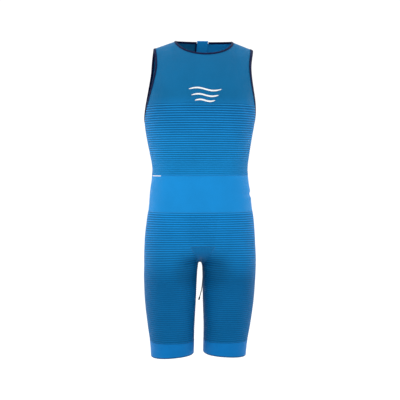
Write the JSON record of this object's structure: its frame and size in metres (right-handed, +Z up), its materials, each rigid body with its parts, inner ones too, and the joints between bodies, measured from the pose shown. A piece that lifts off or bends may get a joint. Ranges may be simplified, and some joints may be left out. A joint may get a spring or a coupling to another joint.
{
  "type": "sleeveless swimskin wetsuit",
  "caption": "Sleeveless knee-length ribbed swimskin wetsuit held in its worn shape, with a plain waist band, bound neck and armholes, and a back zip with a long pull cord.",
  "frame": {"origin": "where the wearer's shoulders hold the suit: on its middle line, level with the side neck points", "axes": "+Z up, -Y the way the wearer faces, +X to the right in the front view"},
  "size_m": [0.3324, 0.2395, 0.9341],
  "materials": {
    "rib_knit": "matte ribbed knit with a slight sheen",
    "plain_knit": "smooth plain knit",
    "binding": "matte folded tape",
    "zip_cloth": "woven tape",
    "zip_plastic": "moulded",
    "zip_metal": "black enamel",
    "cord": "braided"
  },
  "bodies": {
    "suit": {"front_panel": "rib_knit", "back_panel_left": "rib_knit", "back_panel_right": "rib_knit", "waist_band": "plain_knit", "shorts_front": "rib_knit", "shorts_back_left": "rib_knit", "shorts_back_right": "rib_knit", "crotch_gusset": "rib_knit", "hem_band_left": "plain_knit", "hem_band_right": "plain_knit", "neck_binding": "binding", "armhole_binding_left": "binding", "armhole_binding_right": "binding", "zip_tape_left": "zip_cloth", "zip_tape_right": "zip_cloth", "zip_chain": "zip_plastic", "zip_guard": "plain_knit", "zip_slider": "zip_metal", "pull_cord": "cord", "cord_end": "zip_plastic"},
    "tab": {"pull_tab": "zip_metal"}
  },
  "joints": [
    {"name": "tab_swing", "type": "hinge", "parent": "suit", "child": "tab", "pos_m": [0.01065, 0.07268, -0.02454], "axis": [1, 0, 0], "range_deg": [0, 140]}
  ]
}
